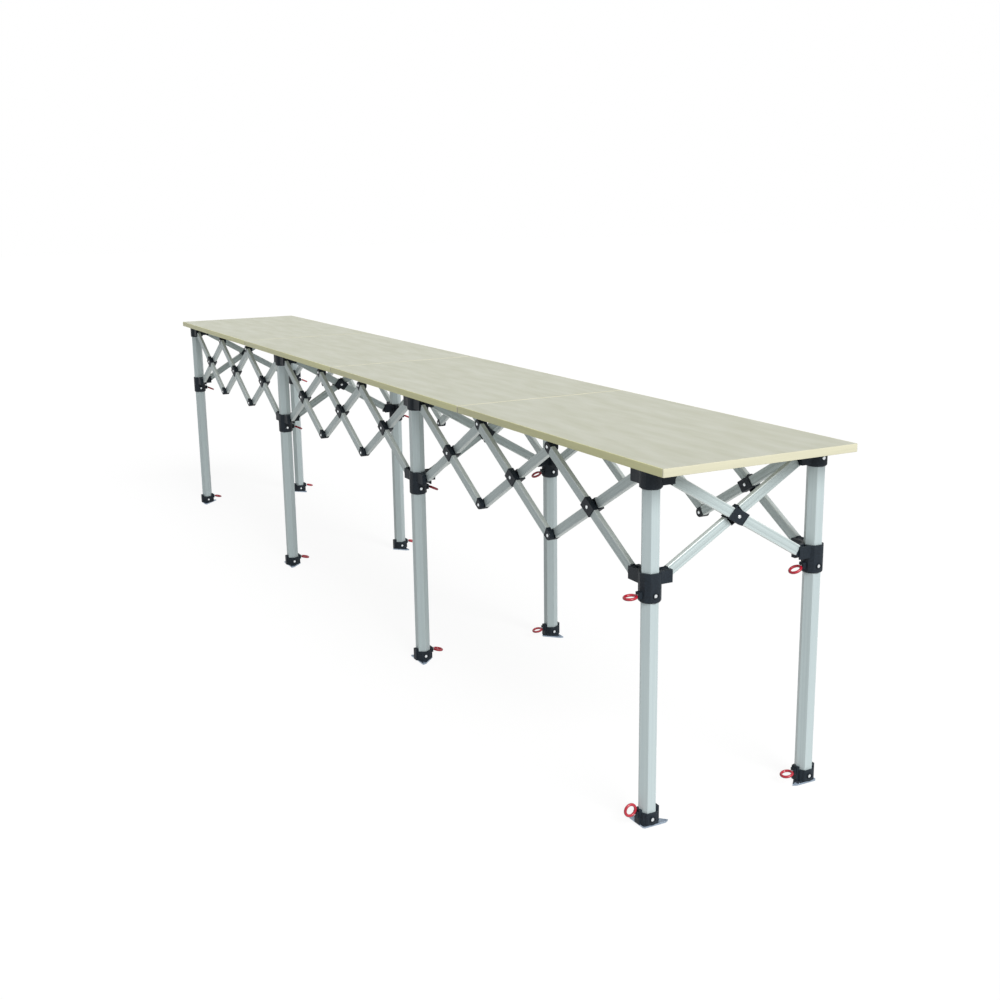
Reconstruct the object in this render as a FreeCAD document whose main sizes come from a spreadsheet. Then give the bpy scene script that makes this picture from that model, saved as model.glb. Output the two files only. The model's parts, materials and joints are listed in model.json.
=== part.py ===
import FreeCAD, Part
import math
import os

import Sketcher

# Driving sizes in millimetres. Counts and shares have no unit.
SIZES = [
    ("bay_length", 1160, "leg axis to leg axis along the table"),
    ("bay_crossings", 3, "count of crossed bar pairs in one bay"),
    ("table_height", 800, "floor to the top face of the boards"),
    ("lattice_height", 210, "top pivots down to bottom pivots with the table open"),
    ("side_arm", 9, "side pivots further from the leg than the cross pivots"),
    ("board_count", 4, "count of boards end to end"),
    ("board_thickness", 18, "thickness of the boards"),
    ("board_joint", 2, "open joint between two boards"),
    ("board_chamfer", 1.2, "eased edges of the boards"),
    ("board_overhang", 90, "boards beyond the axes of the end legs"),
    ("side_overhang", 33.7, "boards beyond the leg axes at the front and the back"),
    ("leg_flats", 36, "hexagon legs across flats"),
    ("leg_wall", 1.6, "wall of the outer and inner legs"),
    ("inner_leg_clearance", 0.4, "inner leg to outer leg, each side"),
    ("inner_leg_length", 340, "inner leg above its foot plate"),
    ("bar_height", 24, "height of a bar's section"),
    ("bar_thickness", 12, "thickness of a bar's section"),
    ("bar_wall", 1.4, "wall of the bar tubes"),
    ("cap_reach", 9.5, "rounded tip of the end cap, about its pivot"),
    ("cap_length", 15, "end cap from the pivot towards the tube"),
    ("cap_slope", 2.5, "slopes of the end cap along the bar, from its tip"),
    ("sleeve_wall", 2.5, "wall of the crossing sleeves"),
    ("sleeve_margin", 2.6, "crossing sleeve beyond the crossing area"),
    ("sleeve_tip", 26, "rounded tips of the crossing sleeve, about its pivot"),
    ("fork_clearance", 0.3, "bar end to the cheek of its fork"),
    ("cheek_thickness", 3.5, "outside cheek of a fork"),
    ("fork_half_height", 14, "fork above and below its pivot"),
    ("fork_reach", 10, "fork beyond its pivot"),
    ("root_clearance", 0.6, "cap corners to the bottom of the fork's slot"),
    ("collar_wall", 3.25, "collars over the corners of their bores"),
    ("collar_chamfer", 3, "bevel at the lower rim of a collar"),
    ("bracket_rise", 7, "top bracket above its forks"),
    ("bracket_skirt", 6, "top bracket below its forks"),
    ("bracket_roof", 4, "closed top of the bracket over the leg"),
    ("slider_clearance", 0.4, "slider bore to the leg, each flat"),
    ("slider_pin_space", 12, "slider between its forks and its boss"),
    ("slider_skirt", 10, "slider below its boss"),
    ("boss_width", 14, "square boss that guides a pull pin"),
    ("boss_reach", 6, "boss beyond the collar"),
    ("pull_pin_flats", 6, "hexagon shank of a pull pin"),
    ("pull_pin_clearance", 0.08, "pull pin to its guide, each flat"),
    ("pull_pin_gap", 0.5, "tip of a pull pin to the leg"),
    ("pull_pin_reach", 4, "shank of a pull pin beyond its boss"),
    ("ring_radius", 16, "pull ring outside"),
    ("ring_bar", 4.6, "square section of the pull ring"),
    ("foot_plate_thickness", 4, "steel plate under the foot"),
    ("foot_plate_side", 66, "short side of the triangular foot plate"),
    ("foot_plate_tip", 15, "width of the cut tip of the foot plate"),
    ("foot_plate_corner", 3, "cut square corner of the foot plate"),
    ("foot_hole_inset", 9, "cut tip to the centre of its peg hole"),
    ("foot_hole_radius", 4, "peg hole over its corners"),
    ("foot_collar_height", 27, "foot collar above the plate"),
    ("foot_pin_drop", 4, "axis of the foot's pull pin below the top of the foot collar"),
    ("ear_margin", 2, "ears of the foot collar wider than the boss, each side"),
    ("ear_top", 4, "ears above the boss"),
    ("ear_wall", 5, "ears outside the leg"),
    ("overrun", 2, "cutting tools beyond what they cut"),
]

HALF_TURN = 180.0
QUARTER_TURN = 90.0
HEXAGON_SIDES = 6
ROUND_SIDES = 12
FLAT_TO_CORNER = HALF_TURN / HEXAGON_SIDES
# Corners of the collars, hexagons with cut corners, as shares of their radius.
COLLAR_SHARES = [(round(math.cos(2 * math.pi * side / ROUND_SIDES), 9),
                  round(math.sin(2 * math.pi * side / ROUND_SIDES), 9)) for side in range(ROUND_SIDES)]
X_AXIS = FreeCAD.Vector(1, 0, 0)
Y_AXIS = FreeCAD.Vector(0, 1, 0)
Z_AXIS = FreeCAD.Vector(0, 0, 1)
ORIGIN = FreeCAD.Vector(0, 0, 0)
FRONT = -1
BACK = 1
# Side that each pull ring points to, for the front and the back leg of each pair.
RING_SIDES = {"1": (BACK, BACK), "2": (BACK, BACK), "3": (BACK, FRONT), "4": (FRONT, FRONT)}
LEG_PAIRS = list(RING_SIDES)
END_PAIRS = (LEG_PAIRS[0], LEG_PAIRS[-1])

doc = FreeCAD.newDocument("folding_table")
sheet = doc.addObject("Spreadsheet::Sheet", "sizes")


class Size:
    """A sheet value or a sum of sheet values: its number and the expression that gives it."""

    def __init__(self, number, text):
        self.number = float(number)
        self.text = text

    def __add__(self, other):
        other = as_size(other)
        return Size(self.number + other.number, f"({self.text} + {other.text})")

    def __sub__(self, other):
        other = as_size(other)
        return Size(self.number - other.number, f"({self.text} - {other.text})")

    def __mul__(self, other):
        other = as_size(other)
        return Size(self.number * other.number, f"({self.text} * {other.text})")

    def __truediv__(self, other):
        other = as_size(other)
        return Size(self.number / other.number, f"({self.text} / {other.text})")

    def __neg__(self):
        return Size(-self.number, f"(0 - {self.text})")


def as_size(value):
    """A Size as it is, and a plain number as a Size."""
    if isinstance(value, Size):
        return value
    return Size(value, str(value))


def root(size):
    """Square root of a Size."""
    return Size(math.sqrt(size.number), f"sqrt({size.text})")


def diagonal(first, second):
    """The diagonal of a rectangle with two Sizes as its sides."""
    return root(first * first + second * second)


def fill_sheet():
    """Write each driving size to the sheet under its alias and return them as Sizes."""
    sizes = {}
    for row, (name, number, note) in enumerate(SIZES, start=1):
        sheet.set(f"A{row}", name)
        sheet.set(f"B{row}", str(number))
        sheet.set(f"C{row}", note)
        sheet.setAlias(f"B{row}", name)
        sizes[name] = Size(number, f"sizes.{name}")
    doc.recompute()
    return sizes


v = fill_sheet()

# Sizes that follow from the driving ones.
SQRT_3 = root(Size(3, "3"))
bar_half = v["bar_height"] / 2
cap_shoulder = v["cap_reach"] - v["cap_slope"]
cap_corner = diagonal(cap_shoulder, bar_half)
fork_root = cap_corner + v["root_clearance"]
bore_flats = v["leg_flats"] + v["slider_clearance"] * 2
collar_radius = bore_flats / SQRT_3 + v["collar_wall"]
cross_offset = collar_radius + fork_root
side_offset = cross_offset + v["side_arm"]
pitch = (v["bay_length"] - side_offset * 2) / v["bay_crossings"]
row_spacing = pitch + cross_offset * 2
bar_length = diagonal(pitch, v["lattice_height"])
pivot_drop = v["fork_half_height"] + v["bracket_rise"]
bracket_height = pivot_drop + v["fork_half_height"] + v["bracket_skirt"]
slider_pin_drop = v["fork_half_height"] + v["slider_pin_space"] + v["boss_width"] / 2
slider_low = -slider_pin_drop - v["boss_width"] / 2 - v["slider_skirt"]
slider_height = v["fork_half_height"] - slider_low
foot_top = v["foot_plate_thickness"] + v["foot_collar_height"]
foot_pin_height = foot_top - v["foot_pin_drop"]
board_underside = v["table_height"] - v["board_thickness"]
top_pivot = board_underside - pivot_drop
bottom_pivot = top_pivot - v["lattice_height"]
leg_corner = v["leg_flats"] / SQRT_3
inner_leg_flats = v["leg_flats"] - v["leg_wall"] * 2 - v["inner_leg_clearance"] * 2
boss_half = v["boss_width"] / 2
boss_end = collar_radius + v["boss_reach"]
guide_flats = v["pull_pin_flats"] + v["pull_pin_clearance"] * 2
legs_span = v["bay_length"] * len(LEG_PAIRS[1:])
bar_angle = math.degrees(math.atan2(v["lattice_height"].number, pitch.number))


def bind(target, prop, size):
    """Bind a property to the sheet."""
    target.setExpression(prop, as_size(size).text)


def bind_base(target, x, y, z):
    """Bind the place of an object to the sheet."""
    bind(target, "Placement.Base.x", x)
    bind(target, "Placement.Base.y", y)
    bind(target, "Placement.Base.z", z)


def block(name, low, high):
    """A box between two opposite corners."""
    low = [as_size(value) for value in low]
    high = [as_size(value) for value in high]
    box = doc.addObject("Part::Box", name)
    for prop, first, last in zip(("Length", "Width", "Height"), low, high):
        bind(box, prop, last - first)
    bind_base(box, *low)
    return box


def prism(name, sides, corner_radius, axis, place, length):
    """A regular prism along X, Y or Z from a place on its axis."""
    column = doc.addObject("Part::Prism", name)
    column.Polygon = sides
    bind(column, "Circumradius", corner_radius)
    bind(column, "Height", length)
    column.Placement = FreeCAD.Placement(ORIGIN, FreeCAD.Rotation(Z_AXIS, axis))
    bind_base(column, *place)
    return column


def hexagon(name, flats, low, height, turned):
    """A hexagon prism on the leg axis, with corners on X, or flats across X when turned."""
    column = prism(name, HEXAGON_SIDES, flats / SQRT_3, Z_AXIS, (0, 0, low), height)
    if turned:
        column.Placement.Rotation = FreeCAD.Rotation(Z_AXIS, FLAT_TO_CORNER)
    return column


def pivot_round(name, radius, along, near, far):
    """A round body about a pivot axis, which lies along Y at a distance along the bar."""
    column = doc.addObject("Part::Cylinder", name)
    bind(column, "Radius", radius)
    bind(column, "Height", far - near)
    column.Placement = FreeCAD.Placement(ORIGIN, FreeCAD.Rotation(Z_AXIS, Y_AXIS))
    bind_base(column, along, near, 0)
    return column


def shared(name, first, second):
    """What two objects have in common."""
    common = doc.addObject("Part::Common", name)
    common.Base = first
    common.Tool = second
    common.Refine = True
    return common


def fused(name, members):
    """The union of several objects."""
    union = doc.addObject("Part::MultiFuse", name)
    union.Shapes = members
    union.Refine = True
    return union


def cut(name, base, tool):
    """One object less another."""
    rest = doc.addObject("Part::Cut", name)
    rest.Base = base
    rest.Tool = tool
    rest.Refine = True
    return rest


def outline_pad(name, plane_role, corners, thickness):
    """A flat piece from a closed outline, padded to both sides of its plane."""
    body = doc.addObject("PartDesign::Body", name)
    sketch = body.newObject("Sketcher::SketchObject", name + "_outline")
    plane = next(item for item in body.Origin.OriginFeatures if item.Role == plane_role)
    sketch.AttachmentSupport = [(plane, "")]
    sketch.MapMode = "FlatFace"
    corners = [(as_size(across), as_size(up)) for across, up in corners]
    count = len(corners)
    points = [FreeCAD.Vector(across.number, up.number, 0) for across, up in corners]
    for index in range(count):
        sketch.addGeometry(Part.LineSegment(points[index], points[(index + 1) % count]), False)
    for index in range(count):
        following = (index + 1) % count
        sketch.addConstraint(Sketcher.Constraint("Coincident", index, 2, following, 1))
    for index, place in enumerate(corners):
        for kind, size in zip(("DistanceX", "DistanceY"), place):
            held = sketch.addConstraint(Sketcher.Constraint(kind, -1, 1, index, 1, size.number))
            sketch.renameConstraint(held, f"corner{index}{kind}")
            bind(sketch, f"Constraints.corner{index}{kind}", size)
    pad = body.newObject("PartDesign::Pad", name + "_pad")
    pad.Profile = sketch
    pad.SideType = "Symmetric"
    bind(pad, "Length", thickness)
    return body


def layer(inner):
    """The two faces of a bar across its thickness: outer bars lie before the leg plane, inner behind."""
    if inner:
        return as_size(0), v["bar_thickness"]
    return -v["bar_thickness"], as_size(0)


def bar_tube(name, inner):
    """The tube of a bar, from cap to cap."""
    near, far = layer(inner)
    wall = v["bar_wall"]
    start, end = v["cap_length"], bar_length - v["cap_length"]
    skin = block(name + "_skin", (start, near, -bar_half), (end, far, bar_half))
    hollow = block(name + "_hollow", (start - v["overrun"], near + wall, wall - bar_half),
                   (end + v["overrun"], far - wall, bar_half - wall))
    return cut(name, skin, hollow)


def end_cap(name, inner):
    """A cap that closes a tube, with slopes that run into a tip round its end pivot."""
    reach, length = v["cap_reach"], v["cap_length"]
    square = cap_corner * cap_corner
    slope = root(square - reach * reach)
    # Where a line from the shoulder touches the round tip.
    tip = reach * (reach * cap_shoulder + slope * bar_half) / square
    tip_half = reach * (reach * bar_half - slope * cap_shoulder) / square
    corners = [(-cap_shoulder, -bar_half), (length, -bar_half), (length, bar_half), (-cap_shoulder, bar_half),
               (-tip, tip_half), (-tip, -tip_half)]
    near, far = layer(inner)
    body = outline_pad(name + "_body", "XZ_Plane", corners, v["bar_thickness"])
    bind(body, "Placement.Base.y", (near + far) / 2)
    return fused(name, [body, pivot_round(name + "_tip", reach, 0, near, far)])


def crossing_sleeve(name, inner):
    """A sleeve round three sides of a bar, its ends parallel to the crossing bar and its tips rounded."""
    up = bar_half + v["sleeve_wall"]
    square_sum = bar_length * bar_length
    square_gap = pitch * pitch - v["lattice_height"] * v["lattice_height"]
    twice_product = pitch * v["lattice_height"] * 2
    half = bar_half * square_sum / twice_product + v["sleeve_margin"]
    lean = up * square_gap / twice_product
    if inner:
        lean = -lean
    middle = bar_length / 2
    corners = [(middle - half - lean, -up), (middle + half - lean, -up),
               (middle + half + lean, up), (middle - half + lean, up)]
    solid = outline_pad(name + "_body", "XZ_Plane", corners, v["bar_thickness"] + v["sleeve_wall"])
    near, far = layer(inner)
    low = near if inner else near - v["sleeve_wall"]
    high = far + v["sleeve_wall"] if inner else far
    bind(solid, "Placement.Base.y", (low + high) / 2)
    tips = pivot_round(name + "_tips", v["sleeve_tip"], middle, low, high)
    past = v["overrun"]
    slot_low = near - past if inner else near
    slot_high = far if inner else far + past
    reach = half + root(lean * lean) + past
    slot = block(name + "_slot", (middle - reach, slot_low, -bar_half), (middle + reach, slot_high, bar_half))
    return cut(name, shared(name + "_rounded", solid, tips), slot)


def fork(name, offset, inner):
    """A moulded fork towards +X that holds a bar end of one layer."""
    near, far = layer(inner)
    gap = v["fork_clearance"]
    if inner:
        low, high = -v["bar_thickness"], far + gap + v["cheek_thickness"]
    else:
        low, high = near - gap - v["cheek_thickness"], v["bar_thickness"]
    up = v["fork_half_height"]
    end = offset + v["fork_reach"]
    solid = block(name + "_solid", (v["leg_flats"] / 2, low, -up), (end, high, up))
    slot = block(name + "_slot", (offset - fork_root, near - gap, -up - v["overrun"]),
                 (end + v["overrun"], far + gap, up + v["overrun"]))
    return cut(name, solid, slot)


def foot_plate(name):
    """A right triangle of steel with cut tips and peg holes, its centroid on the leg axis."""
    third = v["foot_plate_side"] / 3
    tip = v["foot_plate_tip"] / root(Size(2, "2"))
    inset = v["foot_hole_inset"]
    corner = v["foot_plate_corner"]
    corners = [(third - corner, -third), (third, corner - third), (third, third * 2 - tip),
               (third - tip / 2, third * 2), (third - tip, third * 2 - tip / 2),
               (tip / 2 - third * 2, tip - third), (-third * 2, tip / 2 - third), (tip - third * 2, -third)]
    solid = outline_pad(name + "_body", "XY_Plane", corners, v["foot_plate_thickness"])
    bind(solid, "Placement.Base.z", v["foot_plate_thickness"] / 2)
    past = v["overrun"]
    depth = v["foot_plate_thickness"] + past * 2
    holes = [prism(name + "_back_hole", ROUND_SIDES, v["foot_hole_radius"], Z_AXIS,
                   (third - tip / 2, third * 2 - inset, -past), depth),
             prism(name + "_side_hole", ROUND_SIDES, v["foot_hole_radius"], Z_AXIS,
                   (inset - third * 2, tip / 2 - third, -past), depth)]
    return cut(name, solid, fused(name + "_holes", holes))


def guide(name, low):
    """A square boss towards +Y, and the hexagon hole in it that a pull pin runs in."""
    boss = block(name + "_boss", (-boss_half, v["leg_flats"] / 2, low - boss_half),
                 (boss_half, boss_end, low + boss_half))
    hole = prism(name + "_hole", HEXAGON_SIDES, guide_flats / SQRT_3, Y_AXIS, (0, 0, low),
                 boss_end + v["overrun"])
    return boss, hole


def pull_pin(name, tip, upright):
    """A pull pin along +Y with its ring, lying flat or standing upright."""
    end = boss_end + v["pull_pin_reach"]
    shank = prism(name + "_shank", HEXAGON_SIDES, v["pull_pin_flats"] / SQRT_3, Y_AXIS,
                  (0, tip, 0), end - tip)
    axis = X_AXIS if upright else Z_AXIS
    half = v["ring_bar"] / 2
    past = half + v["overrun"]
    centre = end + v["ring_radius"] - half
    low, tool_low = (0, centre, -half), (0, centre, -past)
    if upright:
        low, tool_low = (-half, centre, 0), (-past, centre, 0)
    outside = prism(name + "_outside", ROUND_SIDES, v["ring_radius"], axis, low, half * 2)
    inside = prism(name + "_inside", ROUND_SIDES, v["ring_radius"] - v["ring_bar"], axis, tool_low, past * 2)
    return fused(name, [shank, cut(name + "_ring", outside, inside)])


def eased_pad(name, corners, thickness, chamfer, upper):
    """A flat piece whose upper or lower rim is bevelled."""
    body = outline_pad(name, "XY_Plane", corners, thickness)
    doc.recompute()
    pad = body.Tip
    rim = [f"Edge{index}" for index, edge in enumerate(pad.Shape.Edges, start=1)
           if (edge.BoundBox.ZMin > 0 if upper else edge.BoundBox.ZMax < 0)]
    bevel = body.newObject("PartDesign::Chamfer", name + "_bevel")
    bevel.Base = (pad, rim)
    bind(bevel, "Size", chamfer)
    body.Tip = bevel
    return body


def collar(name, low, height, bevelled):
    """A collar round the leg, a hexagon with cut corners, with a bevelled lower rim where asked."""
    corners = [(collar_radius * across, collar_radius * up) for across, up in COLLAR_SHARES]
    if bevelled:
        body = eased_pad(name, corners, height, v["collar_chamfer"], upper=False)
    else:
        body = outline_pad(name, "XY_Plane", corners, height)
    bind(body, "Placement.Base.z", low + height / 2)
    return body


def board(name):
    """One board with eased top edges, its underside on its own XY plane."""
    length = (legs_span + v["board_overhang"] * 2 + v["board_joint"]) / v["board_count"] - v["board_joint"]
    half_length, half_width = length / 2, row_spacing / 2 + v["side_overhang"]
    corners = [(-half_length, -half_width), (half_length, -half_width),
               (half_length, half_width), (-half_length, half_width)]
    body = eased_pad(name, corners, v["board_thickness"], v["board_chamfer"], upper=True)
    bind(body, "Placement.Base.z", v["board_thickness"] / 2)
    return body, length


# Model pieces, each made once in its own frame and then placed wherever the table has one.
outer_tube = bar_tube("outer_tube", inner=False)
inner_tube = bar_tube("inner_tube", inner=True)
outer_cap = end_cap("outer_cap", inner=False)
inner_cap = end_cap("inner_cap", inner=True)
outer_sleeve = crossing_sleeve("outer_sleeve", inner=False)
inner_sleeve = crossing_sleeve("inner_sleeve", inner=True)
side_outer_fork = fork("side_outer_fork", side_offset, inner=False)
side_inner_fork = fork("side_inner_fork", side_offset, inner=True)
cross_outer_fork = fork("cross_outer_fork", cross_offset, inner=False)
cross_inner_fork = fork("cross_inner_fork", cross_offset, inner=True)
bracket_low = pivot_drop - bracket_height
bracket_collar = collar("bracket_collar", bracket_low, bracket_height, bevelled=True)
slider_collar = collar("slider_collar", slider_low, slider_height, bevelled=True)
plate = foot_plate("plate")
table_board, board_length = board("table_board")
slider_boss, slider_guide = guide("slider", -slider_pin_drop)
foot_boss, foot_guide = guide("foot", foot_pin_height)
foot_wall = collar("foot_wall", v["foot_plate_thickness"], v["foot_collar_height"], bevelled=False)
ear_half = boss_half + v["ear_margin"]
ear = block("ear", (-ear_half, v["leg_flats"] / 2, v["foot_plate_thickness"]),
            (ear_half, leg_corner + v["ear_wall"], foot_pin_height + boss_half + v["ear_top"]))

# Pieces that differ between the end legs, which have flats across X, and the middle legs.
leg_kinds = {}
for turned in (True, False):
    kind = "end" if turned else "middle"
    leg_low = v["foot_plate_thickness"]
    leg_height = board_underside - v["bracket_roof"] - leg_low
    inner_hollow = inner_leg_flats - v["leg_wall"] * 2
    leg_kinds[turned] = {
        "leg": cut(
            kind + "_leg",
            hexagon(kind + "_leg_skin", v["leg_flats"], leg_low, leg_height, turned),
            hexagon(kind + "_leg_hollow", v["leg_flats"] - v["leg_wall"] * 2, leg_low - v["overrun"],
                    leg_height + v["overrun"] * 2, turned)),
        "inner_leg": cut(
            kind + "_inner_leg",
            hexagon(kind + "_inner_skin", inner_leg_flats, leg_low, v["inner_leg_length"], turned),
            hexagon(kind + "_inner_hollow", inner_hollow, leg_low - v["overrun"],
                    v["inner_leg_length"] + v["overrun"] * 2, turned)),
        "bracket_bore": hexagon(
            kind + "_bracket_bore", v["leg_flats"], bracket_low - v["overrun"],
            bracket_height + v["overrun"] - v["bracket_roof"], turned),
        "slider_bore": hexagon(
            kind + "_slider_bore", bore_flats, slider_low - v["overrun"],
            slider_height + v["overrun"] * 2, turned),
        "foot_bore": hexagon(
            kind + "_foot_bore", v["leg_flats"], 0, leg_height, turned),
    }
    leg_face = leg_corner if turned else v["leg_flats"] / 2
    tip = leg_face + v["pull_pin_gap"]
    leg_kinds[turned]["slider_pin"] = pull_pin(kind + "_slider_pin", tip, upright=False)
    leg_kinds[turned]["foot_pin"] = pull_pin(kind + "_foot_pin", tip, upright=True)

doc.recompute()

nodes = {}


def node(name, shapes):
    """Add one named piece of the table, or a group of like pieces that move as one."""
    piece = doc.addObject("Part::Feature", name)
    piece.Label = name
    piece.Shape = shapes[0] if len(shapes) == 1 else Part.makeCompound(shapes)
    nodes[name] = piece


def moved(shape, x, y, z, axis=Z_AXIS, angle=0.0):
    """A copy turned about an axis through its own origin and then moved."""
    copy = shape.copy()
    place = FreeCAD.Placement(FreeCAD.Vector(x, y, z), FreeCAD.Rotation(axis, angle))
    copy.Placement = place.multiply(copy.Placement)
    return copy


def mirrored(shape, normal):
    """A mirror image in a plane through the origin."""
    return shape.mirror(ORIGIN, normal)


def both_rows(shape):
    """A front piece and its mirror image on the back row."""
    return [shape, mirrored(shape, Y_AXIS)]


def bar(tube, cap, sleeve):
    """A whole bar from its top pivot at the origin to its bottom pivot on +X."""
    end = moved(cap.Shape, bar_length.number, 0, 0, Y_AXIS, HALF_TURN)
    return Part.makeCompound([tube.Shape, cap.Shape, end, sleeve.Shape])


outer_bar = bar(outer_tube, outer_cap, outer_sleeve)
inner_bar = bar(inner_tube, inner_cap, inner_sleeve)

row = row_spacing.number / 2
bay = v["bay_length"].number
top = top_pivot.number
bottom = bottom_pivot.number
leg_places = {pair: bay * index - legs_span.number / 2 for index, pair in enumerate(LEG_PAIRS)}

# Side bars: in each bay the outer bars fall to the right and the inner bars fall to the left.
for bay_number in LEG_PAIRS[:-1]:
    first = leg_places[bay_number] + side_offset.number
    for step in range(1, int(v["bay_crossings"].number) + 1):
        left, right = first + (step - 1) * pitch.number, first + step * pitch.number
        outer = moved(outer_bar, left, -row, top, Y_AXIS, bar_angle)
        inner = moved(inner_bar, right, -row, top, Y_AXIS, HALF_TURN - bar_angle)
        node(f"side_bar_{bay_number}_outer_{step}", both_rows(outer))
        node(f"side_bar_{bay_number}_inner_{step}", both_rows(inner))

# Cross bars: at each leg pair the outer bar falls to the back row and the inner bar to the front row.
for pair, x in leg_places.items():
    inset = row - cross_offset.number
    outer = moved(moved(outer_bar, 0, 0, 0, Y_AXIS, bar_angle), x, -inset, top, Z_AXIS, QUARTER_TURN)
    inner = moved(moved(inner_bar, 0, 0, 0, Y_AXIS, HALF_TURN - bar_angle), x, inset, top, Z_AXIS,
                  QUARTER_TURN)
    node(f"cross_bar_{pair}_outer", [outer])
    node(f"cross_bar_{pair}_inner", [inner])


def side_forks(pair, right_fork, left_fork):
    """Forks along the table that a leg of the front row carries."""
    forks = []
    if pair != LEG_PAIRS[-1]:
        forks.append(right_fork.Shape)
    if pair != LEG_PAIRS[0]:
        forks.append(mirrored(left_fork.Shape, X_AXIS))
    return forks


def leg_fitting(sleeve, front_forks, cross_fork, back, extras, cutters):
    """A moulded fitting on a leg: collar, forks along and across the table, less its bores."""
    forks = [mirrored(shape, Y_AXIS) for shape in front_forks] if back else list(front_forks)
    across = moved(cross_fork.Shape, 0, 0, 0, Z_AXIS, QUARTER_TURN)
    forks.append(mirrored(across, Y_AXIS) if back else across)
    solid = sleeve.Shape.fuse(forks + extras).removeSplitter()
    return solid.cut(cutters).removeSplitter()


def towards(shape, side):
    """A piece that points to +Y, or its mirror image when its side is the front."""
    return shape if side > 0 else mirrored(shape, Y_AXIS)


for pair, x in leg_places.items():
    turned = pair in END_PAIRS
    kit = leg_kinds[turned]
    leg = moved(kit["leg"].Shape, x, -row, 0)
    node(f"legs_{pair}", both_rows(leg))

    bracket_forks = side_forks(pair, side_outer_fork, side_inner_fork)
    slider_forks = side_forks(pair, side_inner_fork, side_outer_fork)
    brackets, sliders, collars, feet, slider_pins, foot_pins = [], [], [], [], [], []
    for back, side, ring_side in zip((False, True), (FRONT, BACK), RING_SIDES[pair]):
        y = side * row
        bracket_cross = cross_inner_fork if back else cross_outer_fork
        bracket = leg_fitting(bracket_collar, bracket_forks, bracket_cross, back, [],
                              [kit["bracket_bore"].Shape])
        brackets.append(moved(bracket, x, y, top))

        slider_cross = cross_outer_fork if back else cross_inner_fork
        slider = leg_fitting(slider_collar, slider_forks, slider_cross, back,
                             [towards(slider_boss.Shape, ring_side)],
                             [kit["slider_bore"].Shape, towards(slider_guide.Shape, ring_side)])
        sliders.append(moved(slider, x, y, bottom))

        ears = [ear.Shape, mirrored(ear.Shape, Y_AXIS), towards(foot_boss.Shape, ring_side)]
        foot = foot_wall.Shape.fuse(ears).removeSplitter()
        foot = foot.cut([kit["foot_bore"].Shape, towards(foot_guide.Shape, ring_side)])
        collars.append(moved(foot.removeSplitter(), x, y, 0))

        pin_height = bottom - slider_pin_drop.number
        slider_pins.append(moved(towards(kit["slider_pin"].Shape, ring_side), x, y, pin_height))
        foot_pins.append(moved(towards(kit["foot_pin"].Shape, ring_side), x, y, foot_pin_height.number))

        # The plate's square corner points out of the table at the ends, and inward between them.
        turn = HALF_TURN * 3 / 4
        flat = plate.Shape if turned else moved(plate.Shape, 0, 0, 0, Z_AXIS, turn)
        flat = mirrored(flat, X_AXIS) if pair == LEG_PAIRS[0] else flat
        flat = mirrored(flat, Y_AXIS) if back else flat
        feet.append(moved(kit["inner_leg"].Shape, x, y, 0))
        feet.append(moved(flat, x, y, 0))
    node(f"top_brackets_{pair}", brackets)
    node(f"sliders_{pair}", sliders)
    node(f"foot_collars_{pair}", collars)
    node(f"inner_legs_{pair}", feet)
    if RING_SIDES[pair][0] == RING_SIDES[pair][1]:
        node(f"slider_pins_{pair}", slider_pins)
        node(f"foot_pins_{pair}", foot_pins)
    else:
        for place, slider_pin, foot_pin in zip(("front", "back"), slider_pins, foot_pins):
            node(f"slider_pin_{pair}_{place}", [slider_pin])
            node(f"foot_pin_{pair}_{place}", [foot_pin])

board_step = board_length.number + v["board_joint"].number
for index in range(int(v["board_count"].number)):
    x = board_step * (index - (v["board_count"].number - 1) / 2)
    node(f"board_{index + 1}", [moved(table_board.Shape, x, 0, board_underside.number)])

doc.recompute()
for item in doc.Objects:
    if "Invalid" in item.State or "Error" in item.State:
        raise RuntimeError(f"{item.Name} failed: {item.State}")
for name, piece in nodes.items():
    if piece.Shape.isNull() or not piece.Shape.isValid():
        raise RuntimeError(f"{name} has no valid shape")

os.makedirs("parts", exist_ok=True)
for name, piece in nodes.items():
    piece.Shape.exportStep(f"parts/{name}.step")
print(f"wrote {len(nodes)} pieces")
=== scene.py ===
import json
import math

import bmesh
import bpy
import numpy as np
from mathutils import Matrix, Vector


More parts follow.
